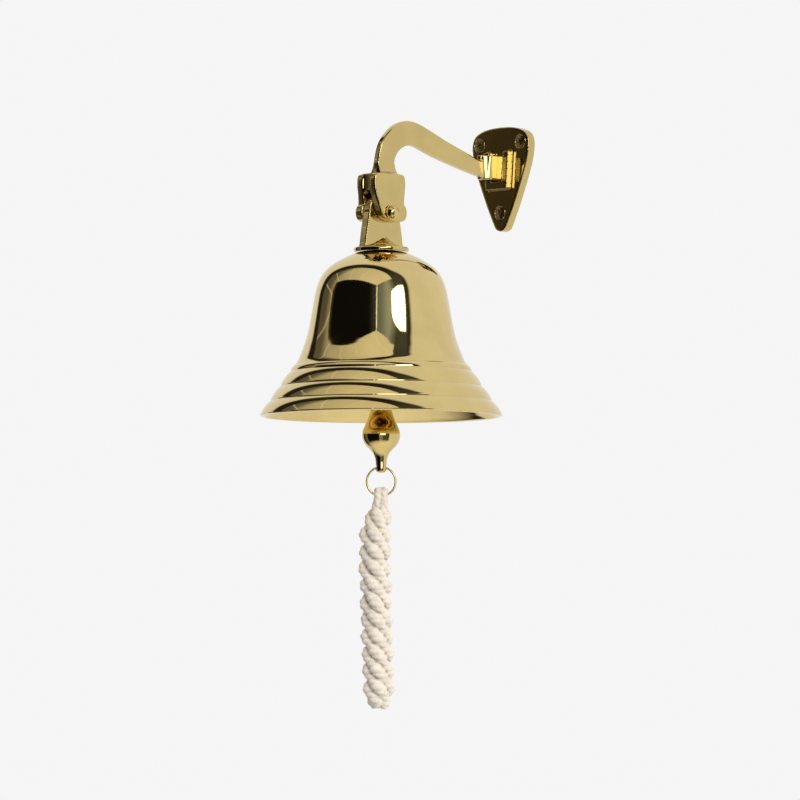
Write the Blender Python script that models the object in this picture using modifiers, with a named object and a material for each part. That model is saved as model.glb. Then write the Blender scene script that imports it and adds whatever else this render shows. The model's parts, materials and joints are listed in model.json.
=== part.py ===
"""Ship bell with a lift-off wall bracket.

The bell hangs from a forked swan-neck arm, whose wedge foot drops into a dovetail socket on a wall plate.
Inside, the clapper hangs from the bell's stud by an eye and a link, and a rope lanyard hangs from its tail.

Frame: +Z up, the wall is the plane Y = 0 and the arm reaches out along -Y. The origin is the middle of the
plate's back face. Lengths below are in millimetres, and MM turns them into metres.
"""
import math

import bmesh
import bpy
from mathutils import Matrix, Vector

MM = 0.001
GAP = 0.3                      # clearance between pieces that touch or run in each other

# Bell
MOUTH_RADIUS = 75.0
MOUTH_Z = -154.0               # plane of the rim, from the plate's centre
REACH = 108.0                  # from the wall to the bell's axis
CROWN_TOP = 103.0              # heights above the mouth from here on
CROWN_UNDER = 98.5
CREASES = [(31.8, 53.7), (28.0, 56.1), (18.8, 62.3), (9.7, 68.6), (1.2, 75.0)]     # height, radius
BAND_SWELL = [6.0, 15.0, 15.0, 15.0]                                              # half turn of each band
WAIST = [(CROWN_TOP, 9.0), (102.2, 14.0), (100.2, 19.5), (96.3, 27.2), (92.0, 33.2), (86.5, 37.5),
         (79.0, 40.4), (70.0, 42.2), (60.0, 44.1), (50.3, 46.1), (42.9, 48.2), (39.1, 49.6), (36.6, 50.7),
         (34.2, 51.9), (32.8, 52.85), CREASES[0]]

# Hanger, pivot and fork
PIN_Z = 126.5
TONGUE_RADIUS = 12.4
TONGUE_HALF = 3.0              # half thickness along X
# Flange: radius, height. Its underside follows the bell's crown.
FLANGE = [(0.0, 109.2), (5.0, 108.8), (8.5, 107.4), (11.5, 106.2), (14.5, 105.4), (16.2, 105.2), (17.0, 104.7),
          (17.2, 103.8), (16.9, 102.2), (14.2, 102.6), (9.2, 103.3)]
TONGUE_LOW = 105.0
STUD_RADIUS = 4.0
STUD_END = 88.0
SLOT_HALF = 3.3
FORK_HALF = 9.2                # at the pivot
FORK_HALF_TOP = 8.4
FORK_WIDE_Z = 134.0            # it narrows above this height
SLOT_TOP = 140.0
BOLT_RADIUS = 2.5
BOLT_HEAD = 4.2
WASHER_RADIUS = 4.8
WASHER_THICK = 0.7
NUT_RADIUS = 4.7
NUT_THICK = 3.2

# Arm
ARM_HALF = 2.3
FOOT_FRONT = 86.6              # from the pin towards the wall
# Edges of the swan neck: distance from the pin towards the wall, height above the mouth
OUTER_EDGE = [(-6.0, 146.0), (-4.8, 154.5), (-4.1, 160.9), (-1.2, 170.4), (4.9, 177.7), (11.0, 182.3),
              (18.7, 185.2), (28.3, 184.6), (41.0, 180.0), (53.0, 175.1), (65.4, 170.7), (73.5, 167.8),
              (80.0, 165.4), (FOOT_FRONT, 163.6)]
INNER_EDGE = [(FOOT_FRONT, 153.8), (77.6, 155.7), (65.4, 158.7), (53.1, 161.8), (41.0, 165.2), (30.4, 169.0),
              (23.1, 170.2), (17.0, 168.6), (12.0, 164.9), (9.4, 159.7), (9.7, 155.5), (10.6, 152.2),
              (10.4, 146.0)]

# Wall plate, from its centre
PLATE_THICK = 6.0
PLATE_EDGE = [(0.0, 33.0), (9.7, 32.5), (17.3, 31.0), (23.0, 28.1), (25.6, 22.4), (24.6, 13.3),
              (21.4, 3.6), (14.0, -13.4), (6.6, -27.9), (3.9, -31.8), (0.0, -33.2)]
SCREW_PLACES = {"wall_screw_upper_left": (-18.6, 22.7), "wall_screw_upper_right": (18.6, 22.7),
                "wall_screw_lower": (0.0, -21.3)}
SCREW_HEAD = 4.5
SCREW_SHANK = 1.9
SCREW_END = 5.7                # from under the head's edge to the wall, where the screw is cut off
SINK_LENGTH = 3.6              # length of the 45 degree countersink's cutter
SOCKET_DEPTH = 4.0             # rails stand this far off the plate
SOCKET_LOW, SOCKET_HIGH = -6.6, 17.2
SHELF_TOP = -1.6
RAIL_OUTER = (9.6, 11.4)       # half width at the bottom and at the top
WEDGE_FRONT = 5.6              # half width of the foot at the rails' front, half way up
WEDGE_BACK = 7.3               # half width against the plate
BLOCK_FRONT = 5.0              # half width of the block ahead of the rails, at its two ends
BLOCK_BACK = 5.5
FOOT_TAPER = 0.125             # the foot's widening from its middle to its top
FOOT_LOW, FOOT_HIGH = -1.3, 14.0

# Clapper train, heights above the mouth
EYE_RING = 5.0
EYE_Z = 80.0
WIRE = 1.5                     # radius of the eyes' and the link's wire
LINK_TOP = EYE_Z - EYE_RING + 2 * WIRE + GAP
LINK_HALF = 4.6                # half width of the link, at its wire's middle
LINK_LENGTH = 20.0
ROD_EYE_RING = 4.4
ROD_EYE_TOP = LINK_TOP - LINK_LENGTH + 2 * WIRE + GAP
ROD_RADIUS = 3.0
ROD_END = -3.0
BALL_TOP = 8.0
BALL_PROFILE = [(5.8, BALL_TOP), (6.4, 6.0), (7.1, 2.4), (8.4, -1.6), (10.0, -5.2), (11.3, -8.4),
                (11.85, -10.8), (11.7, -13.0), (10.9, -15.7), (9.3, -18.1), (7.0, -20.4), (5.1, -22.7),
                (3.9, -25.4), (3.4, -28.2), (3.3, -32.6), (2.6, -34.3), (0.0, -34.9)]
TAIL_HOLE_Z = -31.3
TAIL_HOLE = 1.75
RING_RADIUS = 8.9
RING_WIRE = 1.0
RING_TURN = math.radians(46.0)  # the tail's cross hole runs along this bearing from +X

# Lanyard
ROPE_RADIUS = 10.5
ROPE_TOP = -60.3
ROPE_END = -181.8
BECKET_RADIUS = 4.6
BECKET_HOLE = 2.5
BECKET_HALF = 4.0

BRASS = (0.78, 0.62, 0.29, 1.0)
STEEL_BRASS = (0.70, 0.52, 0.22, 1.0)
COTTON = (0.86, 0.82, 0.74, 1.0)

AXIS = Vector((0.0, -REACH, MOUTH_Z))      # middle of the mouth


def clear_scene():
    for obj in list(bpy.data.objects):
        bpy.data.objects.remove(obj, do_unlink=True)


def make_collection(name):
    collection = bpy.data.collections.new(name)
    bpy.context.scene.collection.children.link(collection)
    return collection


def make_material(name, colour, roughness, metallic):
    material = bpy.data.materials.new(name)
    material.use_nodes = True
    shader = material.node_tree.nodes["Principled BSDF"]
    shader.inputs["Base Color"].default_value = colour
    shader.inputs["Roughness"].default_value = roughness
    shader.inputs["Metallic"].default_value = metallic
    return material


def above_mouth(height, forward=0.0, side=0.0):
    """A place in metres, from its height above the mouth and its offset from the bell's axis."""
    return Vector((side, forward, height)) * MM + AXIS * MM


def smooth_line(points, steps=3):
    """Points along a Catmull-Rom curve through the given ones, with steps spans between each pair."""
    ends = [points[0], *points, points[-1]]
    line = []
    for a, b, c, d in zip(ends, ends[1:], ends[2:], ends[3:]):
        for step in range(steps):
            t = step / steps
            line.append(tuple(0.5 * (2 * q + (r - p) * t + (2 * p - 5 * q + 4 * r - s) * t ** 2
                                     + (3 * q - p - 3 * r + s) * t ** 3) for p, q, r, s in zip(a, b, c, d)))
    return [*line, points[-1]]


def add_object(name, data, material, collection, matrix=None):
    obj = bpy.data.objects.new(name, data)
    collection.objects.link(obj)
    if material:
        data.materials.append(material)
    if matrix:
        obj.matrix_world = matrix
    return obj


def smooth_shading(mesh, angle=35.0):
    mesh.shade_smooth()
    mesh.set_sharp_from_angle(angle=math.radians(angle))


def turned(name, profile, material, place, rotation=(0.0, 0.0, 0.0), steps=40, ring=False):
    """A turned piece. The profile holds (radius, height) pairs and runs down its outer side."""
    mesh = bpy.data.meshes.new(name)
    edges = [(i, i + 1) for i in range(len(profile) - 1)]
    if ring:
        edges.append((len(profile) - 1, 0))
    mesh.from_pydata([(r * MM, 0.0, z * MM) for r, z in profile], edges, [])
    obj = add_object(name, mesh, material, PARTS)
    obj.location = place
    obj.rotation_euler = rotation
    screw = obj.modifiers.new("turn", "SCREW")
    screw.steps = screw.render_steps = steps
    screw.use_merge_vertices = True
    screw.merge_threshold = 0.000005
    screw.use_smooth_shade = True
    return obj


def flat_plate(name, outline, half, material, matrix):
    """A flat piece of the given outline (mm) in its own XY plane, half as thick each way along Z."""
    curve = bpy.data.curves.new(name, "CURVE")
    curve.dimensions = "2D"
    curve.fill_mode = "BOTH"
    curve.extrude = half * MM
    spline = curve.splines.new("POLY")
    spline.points.add(len(outline) - 1)
    for point, (x, y) in zip(spline.points, outline):
        point.co = (x * MM, y * MM, 0.0, 1.0)
    spline.use_cyclic_u = True
    return mesh_from_curve(add_object(name, curve, None, PARTS, matrix), material)


def mesh_from_curve(obj, material):
    """The same object as a closed mesh, which can be cut and joined."""
    bpy.context.view_layer.update()
    graph = bpy.context.evaluated_depsgraph_get()
    mesh = bpy.data.meshes.new_from_object(obj.evaluated_get(graph))
    name, matrix = obj.name, obj.matrix_world.copy()
    bpy.data.objects.remove(obj, do_unlink=True)
    work = bmesh.new()
    work.from_mesh(mesh)
    bmesh.ops.remove_doubles(work, verts=work.verts, dist=0.000001)
    work.to_mesh(mesh)
    work.free()
    mesh.name = name
    mesh.materials.clear()
    return add_object(name, mesh, material, PARTS, matrix)


def block(name, low, high, material=None, half_x=None):
    """A box between two corners (mm). half_x tapers it: {(back?, top?): half width along X}."""
    mesh = bpy.data.meshes.new(name)
    work = bmesh.new()
    bmesh.ops.create_cube(work, size=1.0)
    for vert in work.verts:
        back, top = vert.co.y > 0, vert.co.z > 0
        y = high[1] if back else low[1]
        z = high[2] if top else low[2]
        x = high[0] if vert.co.x > 0 else low[0]
        if half_x:
            x = math.copysign(half_x[back, top], vert.co.x)
        vert.co = Vector((x, y, z)) * MM
    work.to_mesh(mesh)
    work.free()
    return add_object(name, mesh, material, PARTS)


def rod(name, radius, length, centre, rotation, material=None, sides=32, taper=None):
    """A cylinder or cone of the given length (mm), along its own Z and centred on a place (metres)."""
    mesh = bpy.data.meshes.new(name)
    work = bmesh.new()
    bmesh.ops.create_cone(work, cap_ends=True, segments=sides, radius1=radius * MM,
                          radius2=(radius if taper is None else taper) * MM, depth=length * MM)
    work.to_mesh(mesh)
    work.free()
    obj = add_object(name, mesh, material, PARTS)
    obj.location = centre
    obj.rotation_euler = rotation
    return obj


def use_in(target, tool, operation):
    """Cut a tool from a piece, or join it on, with a Boolean."""
    PARTS.objects.unlink(tool)
    TOOLS.objects.link(tool)
    tool.hide_render = True
    tool.display_type = "WIRE"
    modifier = target.modifiers.new(tool.name, "BOOLEAN")
    modifier.operation = operation
    modifier.solver = "EXACT"
    modifier.object = tool


def cut(target, tool):
    use_in(target, tool, "DIFFERENCE")


def join(target, tool):
    use_in(target, tool, "UNION")


ALONG_X = (0.0, math.radians(90.0), 0.0)
ALONG_MINUS_X = (0.0, math.radians(-90.0), 0.0)
FACING_OUT = (math.radians(90.0), 0.0, 0.0)          # own +Z points along -Y
UPRIGHT = (0.0, 0.0, 0.0)


def upright_plate_matrix(origin, facing="X"):
    """Own X, Y, Z become world Y, Z, X, or world X, Z, -Y for a piece that faces the room."""
    turn = Matrix.Rotation(math.radians(90.0), 4, "X")
    if facing == "X":
        turn = Matrix.Rotation(math.radians(90.0), 4, "Z") @ turn
    return Matrix.Translation(origin) @ turn


# ---------------------------------------------------------------- wall plate and its screws

def make_wall_plate():
    half = smooth_line(PLATE_EDGE, 2)
    outline = [(-x, z) for x, z in half[::-1]] + half[1:-1]
    facing_room = upright_plate_matrix(Vector((0.0, -PLATE_THICK / 2, 0.0)) * MM, "Y")
    plate = flat_plate("wall_plate", outline[::-1], PLATE_THICK / 2, BRASS_CAST, facing_room)
    edge = plate.modifiers.new("soft_edge", "BEVEL")
    edge.width = 0.0011
    edge.segments = 2
    edge.limit_method = "ANGLE"
    edge.angle_limit = math.radians(40.0)
    front = -PLATE_THICK - SOCKET_DEPTH
    low_half, high_half = RAIL_OUTER
    rails = block("socket_body", (0, front, SOCKET_LOW), (0, -PLATE_THICK + 1.0, SOCKET_HIGH),
                  half_x={(b, t): high_half if t else low_half for b in (True, False) for t in (True, False)})
    join(plate, rails)
    cut(plate, make_foot("socket_slot", SHELF_TOP, SOCKET_HIGH + 6.0, foot_outline(front - 1.0, GAP)))
    for name, (x, z) in SCREW_PLACES.items():
        narrow = SCREW_SHANK + GAP
        hole = rod(name + "_hole", narrow, 3 * PLATE_THICK, Vector((x, 0, z)) * MM, FACING_OUT)
        sink_y = SINK_LENGTH / 2 - PLATE_THICK - 1.0
        sink = rod(name + "_sink", narrow, SINK_LENGTH, Vector((x, sink_y, z)) * MM, FACING_OUT,
                   taper=narrow + SINK_LENGTH)
        cut(plate, hole)
        cut(plate, sink)
    smooth_shading(plate.data)


def make_wall_screws():
    top = 0.5
    for name, (x, z) in SCREW_PLACES.items():
        head = [(0.0, top), (SCREW_HEAD * 0.6, top * 0.7), (SCREW_HEAD, 0.0),
                (SCREW_SHANK, -SCREW_HEAD + SCREW_SHANK)]
        shank = [(SCREW_SHANK, -SCREW_END + 0.3), (SCREW_SHANK - 0.3, -SCREW_END), (0.0, -SCREW_END)]
        place = Vector((x, -PLATE_THICK - 0.15, z)) * MM
        screw = turned(name, head + shank, BRASS_SCREW, place, FACING_OUT, steps=28)
        for turn in (0.0, 90.0):
            slot = block(f"{name}_slot_{turn:.0f}", (-2.2, -2.0, -0.4), (2.2, 2.0, 0.4))
            slot.location = place
            slot.rotation_euler = (0.0, math.radians(turn + 20.0), 0.0)
            cut(screw, slot)


# ---------------------------------------------------------------- bracket arm and the pivot

def make_bracket_arm():
    pin = above_mouth(0.0)
    outline = smooth_line(OUTER_EDGE, 3) + smooth_line(INNER_EDGE, 3)
    arm = flat_plate("bracket_arm", outline[::-1], ARM_HALF, BRASS_CAST, upright_plate_matrix(pin))
    fork = fork_head(pin)
    join(arm, fork)
    join(arm, fork_neck())
    join(arm, make_foot("foot", FOOT_LOW, FOOT_HIGH, foot_outline(-REACH + FOOT_FRONT)))
    cut(arm, block("fork_slot", (-SLOT_HALF, -REACH - 20.0, MOUTH_Z + 110.0),
                   (SLOT_HALF, -REACH + 20.0, MOUTH_Z + SLOT_TOP)))
    cut(arm, rod("fork_bore", BOLT_RADIUS + GAP, 40.0, above_mouth(PIN_Z), ALONG_X))
    smooth_shading(arm.data)


def fork_head(place):
    """The fork's side outline: soft shoulders, a slight waist and a rounded bead around the pivot."""
    half = [(12.0, 149.6), (12.8, 146.8), (12.9, 143.0), (11.6, FORK_WIDE_Z), (11.2, 131.6), (12.6, 130.0),
            (13.4, 127.0), (13.0, 124.0), (11.4, 121.9), (9.0, 121.0)]
    outline = [(7.5, 150.6)] + half + [(-y, z) for y, z in half[::-1]] + [(-7.5, 150.6)]
    head = flat_plate("fork_head", outline[::-1], FORK_HALF, None, upright_plate_matrix(place))
    for vert in head.data.vertices:
        if (head.matrix_world @ vert.co).z > (MOUTH_Z + FORK_WIDE_Z - 0.1) * MM:
            vert.co.z *= FORK_HALF_TOP / FORK_HALF
    return head


def fork_neck():
    """Flares from the fork's full thickness to the bar's."""
    low, high = MOUTH_Z + 149.0, MOUTH_Z + 155.0
    halves = {(b, t): ARM_HALF - 0.2 if t else 5.6 for b in (True, False) for t in (True, False)}
    return block("fork_neck", (0, -REACH - 4.6, low), (0, -REACH + 9.8, high), half_x=halves)


def foot_outline(front, grow=0.0):
    """The foot from above: a flare, the block ahead of the rails and the dovetail between them, as (x, y)."""
    rails_front = -PLATE_THICK - SOCKET_DEPTH
    back = -PLATE_THICK - GAP + grow
    half = [(WEDGE_FRONT + grow, rails_front), (WEDGE_BACK + grow, back)]
    if grow:
        half = [(WEDGE_FRONT + grow, front)] + half
    else:
        flare = [(ARM_HALF - 0.8, front - 1.8), (BLOCK_FRONT, front + 1.9)]
        half = flare + [(BLOCK_BACK, rails_front - 0.4)] + half
    return half + [(-x, y) for x, y in half[::-1]]


def make_foot(name, low, high, outline):
    """A piece of the foot's section between two heights, which widens towards the top like a wedge."""
    foot = flat_plate(name, outline, (high - low) / 2, None, Matrix.Translation((0, 0, (low + high) / 2 * MM)))
    middle, half = (FOOT_HIGH + FOOT_LOW) / 2, (FOOT_HIGH - FOOT_LOW) / 2
    for vert in foot.data.vertices:
        height = (foot.matrix_world @ vert.co).z / MM
        vert.co.x *= 1 + FOOT_TAPER * (height - middle) / half
    return foot


def make_pivot():
    place = above_mouth(PIN_Z)
    seat = FORK_HALF + GAP
    grip = seat + WASHER_THICK + GAP
    bolt_end = grip + 5.0
    # own +Z is world +X: the head is the top of the profile
    head = [(0.0, grip + 3.5), (1.6, grip + 3.3), (2.9, grip + 2.7), (3.8, grip + 1.6), (BOLT_HEAD, grip + 0.4),
            (BOLT_HEAD, grip)]
    shank = [(BOLT_RADIUS, grip), (BOLT_RADIUS, 0.7 - bolt_end), (BOLT_RADIUS - 0.7, -bolt_end), (0.0, -bolt_end)]
    turned("pivot_bolt", head + shank, BRASS_SCREW, place, ALONG_X, steps=32)
    for name, side in (("pivot_washer_left", -1), ("pivot_washer_right", 1)):
        near, far = sorted((side * seat, side * (seat + WASHER_THICK)))
        inner = BOLT_RADIUS + GAP
        ring = [(WASHER_RADIUS, far), (WASHER_RADIUS, near), (inner, near), (inner, far)]
        turned(name, ring, BRASS_SCREW, place, ALONG_X, steps=28, ring=True)
    nut_face = grip + GAP

    def on_pin(side):
        return above_mouth(PIN_Z, side=side)

    nut = rod("pivot_nut", NUT_RADIUS, NUT_THICK, on_pin(-nut_face - NUT_THICK / 2), ALONG_X, BRASS_SCREW, sides=6)
    dome = [(0.0, 4.6), (1.5, 4.3), (2.8, 3.6), (3.7, 2.2), (4.0, 0.4), (4.0, -1.0), (0.0, -1.0)]
    join(nut, turned("nut_dome", dome, None, on_pin(0.2 - nut_face - NUT_THICK), ALONG_MINUS_X, steps=28))
    bore_length = bolt_end + GAP
    cut(nut, rod("nut_bore", BOLT_RADIUS + GAP, bore_length, on_pin(-bore_length / 2), ALONG_X))


# ---------------------------------------------------------------- hanger, bell and its fixings

def make_crown_hanger():
    """Flange and stud are turned, and the tongue is a flat plate joined on."""
    stud = [(STUD_RADIUS, CROWN_TOP + GAP), (STUD_RADIUS, STUD_END + 1.0), (STUD_RADIUS - 1.0, STUD_END),
            (0.0, STUD_END)]
    hanger = turned("crown_hanger", FLANGE + stud, BRASS_CAST, above_mouth(0.0), steps=40)
    arc = [(TONGUE_RADIUS * math.cos(math.radians(a)), PIN_Z + TONGUE_RADIUS * math.sin(math.radians(a)))
           for a in range(0, 181, 12)]
    side = [(15.9, TONGUE_LOW), (15.3, 110.0), (14.2, 117.0), (13.2, 122.0)]
    outline = side + arc + [(-y, z) for y, z in side[::-1]]
    tongue = flat_plate("tongue", outline[::-1], TONGUE_HALF, None, upright_plate_matrix(above_mouth(0.0)))
    join(hanger, tongue)
    cut(hanger, rod("tongue_eye", BOLT_RADIUS + GAP, 20.0, above_mouth(PIN_Z), ALONG_X))


def band(start, end, half_turn, steps=4):
    """Points of a convex arc between two creases, without its end."""
    (z0, r0), (z1, r1) = start, end
    chord = Vector((r1 - r0, z1 - z0))
    normal = Vector((-chord.y, chord.x)).normalized()
    swell = math.radians(half_turn)
    radius = chord.length / (2 * math.sin(swell))
    middle = Vector(((r0 + r1) / 2, (z0 + z1) / 2)) - normal * radius * math.cos(swell)
    arm = Vector((r0, z0)) - middle
    points = []
    for step in range(steps):
        turn = Matrix.Rotation(-2 * swell * step / steps, 2)
        points.append(tuple(middle + turn @ arm))
    return points


def outer_profile():
    """(radius, height) pairs down the outside of the bell, from the crown to the lip."""
    points = [(r, z) for z, r in smooth_line(WAIST, 2)][:-1]
    for start, end, half_turn in zip(CREASES, CREASES[1:], BAND_SWELL):
        points += band(start, end, half_turn)
    return points


def make_bell_shell():
    bore = STUD_RADIUS + GAP
    # inside, the wall follows the waist and the foot line of the bands at the wall's thickness
    inside = [(71.9, 1.3), (62.0, 14.0), (54.6, 24.2), (49.0, 33.4), (45.6, 42.0), (43.0, 50.3), (40.7, 60.0),
              (38.8, 70.0), (36.8, 79.0), (33.9, 86.0), (29.6, 91.4), (24.0, 95.2), (17.0, 97.8),
              (10.0, CROWN_UNDER)]
    lip = [(MOUTH_RADIUS, 1.2), (74.6, 0.3), (73.6, 0.0), (72.6, 0.4)]
    profile = [(bore, CROWN_TOP)] + outer_profile() + lip + inside + [(bore, CROWN_UNDER)]
    turned("bell_shell", profile, BRASS_BELL, above_mouth(0.0), steps=56, ring=True)


def make_crown_fixings():
    bore = STUD_RADIUS + GAP
    washer_top = CROWN_UNDER - GAP
    washer = [(11.0, washer_top), (11.0, washer_top - 1.5), (bore, washer_top - 1.5), (bore, washer_top)]
    turned("crown_washer", washer, BRASS_SCREW, above_mouth(0.0), steps=32, ring=True)
    high = washer_top - 1.5 - GAP
    thick = 5.6
    nut = rod("crown_nut", 7.5, thick, above_mouth(high - thick / 2), UPRIGHT, BRASS_SCREW, sides=6)
    cut(nut, rod("crown_nut_bore", bore, 3 * thick, above_mouth(high - thick / 2), UPRIGHT))


# ---------------------------------------------------------------- clapper train

def torus(name, ring, wire, place, rotation, material=None, around=36, sides=12):
    bpy.ops.mesh.primitive_torus_add(major_segments=around, minor_segments=sides, major_radius=ring * MM,
                                     minor_radius=wire * MM, location=place, rotation=rotation)
    obj = bpy.context.object
    obj.name = obj.data.name = name
    for collection in list(obj.users_collection):
        collection.objects.unlink(obj)
    PARTS.objects.link(obj)
    if material:
        obj.data.materials.append(material)
    obj.data.shade_smooth()
    return obj


def make_clapper_eye():
    """An eye whose collar is screwed to the end of the stud."""
    top = STUD_END - GAP
    neck_low = EYE_Z + EYE_RING - WIRE / 2
    profile = [(0.0, top), (5.0, top), (5.0, top - 1.4), (2.4, top - 1.8), (2.0, neck_low), (0.0, neck_low)]
    eye = turned("clapper_eye", profile, BRASS_SCREW, above_mouth(0.0), steps=24)
    join(eye, torus("eye_ring", EYE_RING, WIRE, above_mouth(EYE_Z), ALONG_X))


def make_clapper_link():
    """A long link in the XZ plane, its top bar inside the eye."""
    curve = bpy.data.curves.new("clapper_link", "CURVE")
    curve.dimensions = "3D"
    curve.bevel_depth = WIRE * MM
    curve.bevel_resolution = 2
    straight = LINK_LENGTH / 2 - LINK_HALF
    spots = []
    for sign, first in ((1, 0), (-1, 180)):
        for angle in range(first, first + 181, 15):
            turn = math.radians(angle)
            spots.append((LINK_HALF * math.cos(turn), sign * straight + LINK_HALF * math.sin(turn)))
    spline = curve.splines.new("POLY")
    spline.points.add(len(spots) - 1)
    for point, (x, z) in zip(spline.points, spots):
        point.co = (x * MM, 0.0, z * MM, 1.0)
    spline.use_cyclic_u = True
    link = add_object("clapper_link", curve, BRASS_SCREW, PARTS)
    link.location = above_mouth(LINK_TOP - LINK_LENGTH / 2)


def make_clapper_rod():
    eye_z = ROD_EYE_TOP - ROD_EYE_RING
    top = eye_z - ROD_EYE_RING + WIRE / 2
    profile = [(0.0, top), (1.9, top), (ROD_RADIUS, top - 4.0), (ROD_RADIUS, ROD_END + 0.6),
               (ROD_RADIUS - 0.6, ROD_END), (0.0, ROD_END)]
    stem = turned("clapper_rod", profile, BRASS_SCREW, above_mouth(0.0), steps=24)
    join(stem, torus("rod_eye", ROD_EYE_RING, WIRE, above_mouth(eye_z), ALONG_X, around=32))


def make_clapper_ball():
    """The drilled socket closes the profile, so its loop runs back up the socket's wall."""
    socket_low = ROD_END - GAP
    outer = smooth_line(BALL_PROFILE, 2)
    profile = outer + [(0.0, socket_low), (ROD_RADIUS + GAP, socket_low), (ROD_RADIUS + GAP, BALL_TOP)]
    ball = turned("clapper_ball", profile, BRASS_BELL, above_mouth(0.0), steps=40, ring=True)
    cut(ball, rod("tail_hole", TAIL_HOLE, 20.0, above_mouth(TAIL_HOLE_Z),
                  (0.0, math.radians(90.0), RING_TURN), sides=20))


def make_clapper_lock_nut():
    low = BALL_TOP + GAP
    thick = 4.0
    nut = rod("clapper_lock_nut", 5.6, thick, above_mouth(low + thick / 2), UPRIGHT, BRASS_SCREW, sides=6)
    cut(nut, rod("lock_nut_bore", ROD_RADIUS + GAP, 3 * thick, above_mouth(low + thick / 2), UPRIGHT))


# ---------------------------------------------------------------- ring and lanyard

def make_ring():
    """The split ring hangs in the tail's cross hole, its top bar in the hole."""
    torus("lanyard_ring", RING_RADIUS, RING_WIRE, above_mouth(TAIL_HOLE_Z - RING_RADIUS),
          (math.radians(90.0), 0.0, RING_TURN), BRASS_SCREW, around=40, sides=10)


def make_lanyard():
    """The becket is the rope's loop around the ring, and the lanyard is the knotted rope below it."""
    wire_z = TAIL_HOLE_Z - 2 * RING_RADIUS
    low = ROPE_TOP + GAP
    arc = [(BECKET_RADIUS * math.cos(math.radians(a)), BECKET_RADIUS * math.sin(math.radians(a)))
           for a in range(0, 181, 18)]
    outline = arc + [(-BECKET_RADIUS - 0.8, -6.0), (-BECKET_RADIUS - 0.8, low - wire_z),
                     (BECKET_RADIUS + 0.8, low - wire_z), (BECKET_RADIUS + 0.8, -6.0)]
    turn = Matrix.Rotation(RING_TURN, 4, "Z") @ upright_plate_matrix(Vector((0, 0, 0)))
    becket = flat_plate("lanyard_becket", outline[::-1], BECKET_HALF, ROPE,
                        Matrix.Translation(above_mouth(wire_z)) @ turn)
    along_wire = (0.0, math.radians(90.0), RING_TURN)
    cut(becket, rod("becket_hole", BECKET_HOLE, 30.0, above_mouth(wire_z), along_wire))
    profile = [(0.0, ROPE_TOP), (7.0, ROPE_TOP), (ROPE_RADIUS, ROPE_TOP - 8.0), (ROPE_RADIUS, ROPE_END + 6.0),
               (8.4, ROPE_END + 1.6), (4.6, ROPE_END), (0.0, ROPE_END)]
    turned("lanyard", profile, ROPE, above_mouth(0.0), steps=20)


clear_scene()
PARTS = make_collection("ship_bell")
TOOLS = make_collection("cutters")
BRASS_BELL = make_material("bell_brass", BRASS, 0.08, 1.0)
BRASS_CAST = make_material("bracket_brass", BRASS, 0.14, 1.0)
BRASS_SCREW = make_material("fitting_brass", STEEL_BRASS, 0.22, 1.0)
ROPE = make_material("rope", COTTON, 0.95, 0.0)

make_wall_plate()
make_wall_screws()
make_bracket_arm()
make_pivot()
make_crown_hanger()
make_bell_shell()
make_crown_fixings()
make_clapper_eye()
make_clapper_link()
make_clapper_rod()
make_clapper_ball()
make_clapper_lock_nut()
make_ring()
make_lanyard()
bpy.context.view_layer.update()
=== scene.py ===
"""A wall-hung brass ship bell: swan-neck bracket, swinging clapper and knotted cotton lanyard.

Lengths in the tables below are in millimetres. Heights are above the plane of the bell's mouth, and
"out" is the distance from the bell's axis towards the wall, unless a comment says otherwise.
"""
import json
import math

import bmesh
import bpy
import numpy as np
from mathutils import Matrix, Vector


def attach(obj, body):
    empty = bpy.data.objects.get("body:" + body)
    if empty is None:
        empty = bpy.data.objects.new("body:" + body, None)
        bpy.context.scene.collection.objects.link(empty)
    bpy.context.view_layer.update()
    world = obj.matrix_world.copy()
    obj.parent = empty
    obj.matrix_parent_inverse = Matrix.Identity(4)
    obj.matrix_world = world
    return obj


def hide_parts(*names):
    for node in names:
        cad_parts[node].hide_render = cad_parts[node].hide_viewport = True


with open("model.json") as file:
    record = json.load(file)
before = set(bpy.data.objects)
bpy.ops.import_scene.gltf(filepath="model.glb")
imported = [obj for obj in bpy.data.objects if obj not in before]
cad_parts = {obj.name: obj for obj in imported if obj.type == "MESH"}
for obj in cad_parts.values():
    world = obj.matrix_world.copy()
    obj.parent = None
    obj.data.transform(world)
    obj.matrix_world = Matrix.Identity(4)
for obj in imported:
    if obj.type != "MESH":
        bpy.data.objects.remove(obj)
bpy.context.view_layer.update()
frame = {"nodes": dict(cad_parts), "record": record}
PARTS = {name: body for body, names in frame["record"]["behaviour"]["bodies"].items() for name in names}
SLOTS = {row["node"]: row["material_slot"] for row in frame["record"]["subparts"]}

MM = 0.001
REACH = 108.0                    # from the wall to the bell's axis
MOUTH_Z = -154.0                 # the mouth's plane
AXIS = Vector((0.0, -REACH, MOUTH_Z)) * MM


def at(height, out=0.0, side=0.0):
    """A place in metres from its height above the mouth, and its offsets from the bell's axis."""
    return AXIS + Vector((side, out, height)) * MM


# ---------------------------------------------------------------- camera

AZIMUTH, ELEVATION = math.radians(47.2), math.radians(-3.36)
AIM = Vector((-34.7, -60.0, -140.2)) * MM
DISTANCE = 4.0
LENS = 286.5


def make_camera():
    data = bpy.data.cameras.new("camera")
    camera = bpy.data.objects.new("camera", data)
    bpy.context.scene.collection.objects.link(camera)
    back = Vector((math.sin(AZIMUTH) * math.cos(ELEVATION), -math.cos(AZIMUTH) * math.cos(ELEVATION),
                   math.sin(ELEVATION)))
    data.lens = LENS
    data.sensor_width = 36.0
    data.clip_start, data.clip_end = 0.1, 100.0
    camera.location = AIM + back * DISTANCE
    camera.rotation_euler = (-back).to_track_quat("-Z", "Y").to_euler()
    bpy.context.scene.camera = camera


make_camera()
bpy.context.scene.view_settings.view_transform = "Standard"


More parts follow.
